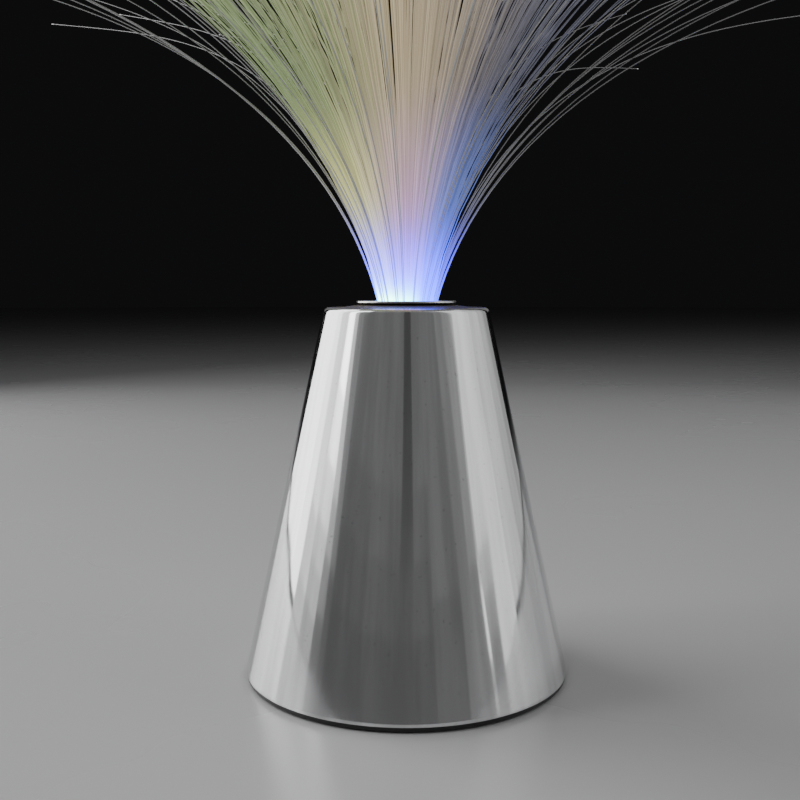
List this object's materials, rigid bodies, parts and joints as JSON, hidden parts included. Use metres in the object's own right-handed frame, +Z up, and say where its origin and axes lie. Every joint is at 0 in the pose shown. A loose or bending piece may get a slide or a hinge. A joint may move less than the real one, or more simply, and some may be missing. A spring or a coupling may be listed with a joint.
{
  "type": "fibre optic lamp",
  "caption": "Battery-run fibre optic table lamp: a mirror-finished cone on a low black foot, with a fan of hair-thin light fibres arching out of its top.",
  "frame": {"origin": "on the table, under the middle of the cone", "axes": "+Z up along the cone's axis, -Y the front, +X the lamp's right"},
  "size_m": [0.3968, 0.3952, 0.3216],
  "materials": {
    "chrome_plate": "polished",
    "collar_plate": "gloss",
    "black_plastic": "satin",
    "ferrule_nylon": "satin",
    "socket_plastic": "satin",
    "light_fibre": "gloss",
    "circuit_board": "satin",
    "green_lens": "gloss",
    "pink_lens": "gloss",
    "blue_lens": "gloss",
    "chip_resin": "matte",
    "resistor_ceramic": "satin",
    "screw_steel": "satin",
    "contact_steel": "gloss",
    "cell_jacket": "gloss",
    "foot_rubber": "matte",
    "switch_steel": "satin",
    "switch_resin": "matte",
    "terminal_brass": "satin",
    "knob_plastic": "satin",
    "red_insulation": "gloss",
    "white_insulation": "gloss",
    "black_insulation": "gloss"
  },
  "bodies": {
    "base": {"chrome_shell": "chrome_plate", "collar_ring": "collar_plate", "fibre_socket": "socket_plastic", "led_board": "circuit_board", "led_green": "green_lens", "led_pink": "pink_lens", "led_blue": "blue_lens", "control_chip": "chip_resin", "resistors": "resistor_ceramic", "socket_screws": "screw_steel", "board_screws": "screw_steel", "bottom_cover": "black_plastic", "cover_screws": "screw_steel", "rubber_feet": "foot_rubber", "battery_front": "cell_jacket", "battery_middle": "cell_jacket", "battery_rear": "cell_jacket", "battery_springs": "contact_steel", "contact_positive": "contact_steel", "contact_negative": "contact_steel", "contact_bridge_left": "contact_steel", "contact_bridge_right": "contact_steel", "switch_housing": "switch_steel", "switch_base": "switch_resin", "switch_terminals": "terminal_brass", "switch_screws": "screw_steel", "wire_positive": "red_insulation", "wire_switched": "white_insulation", "wire_negative": "black_insulation"},
    "door": {"battery_door": "black_plastic", "door_screw": "screw_steel"},
    "knob": {"switch_knob": "knob_plastic"},
    "spray": {"fibre_ferrule": "ferrule_nylon", "fibres_green": "light_fibre", "fibres_pink": "light_fibre", "fibres_blue": "light_fibre", "fibres_stray": "light_fibre"}
  },
  "joints": [
    {"name": "switch_slide", "type": "slide", "parent": "base", "child": "knob", "axis": [-1, 0, 0], "range_m": [0, 0.003]},
    {"name": "door_hinge", "type": "hinge", "parent": "base", "child": "door", "pos_m": [-0.02645, 0, 0.0006], "axis": [0, 1, 0], "range_deg": [0, 60]},
    {"name": "spray_lift", "type": "slide", "parent": "base", "child": "spray", "axis": [0, 0, 1], "range_m": [0, 0.04]}
  ]
}
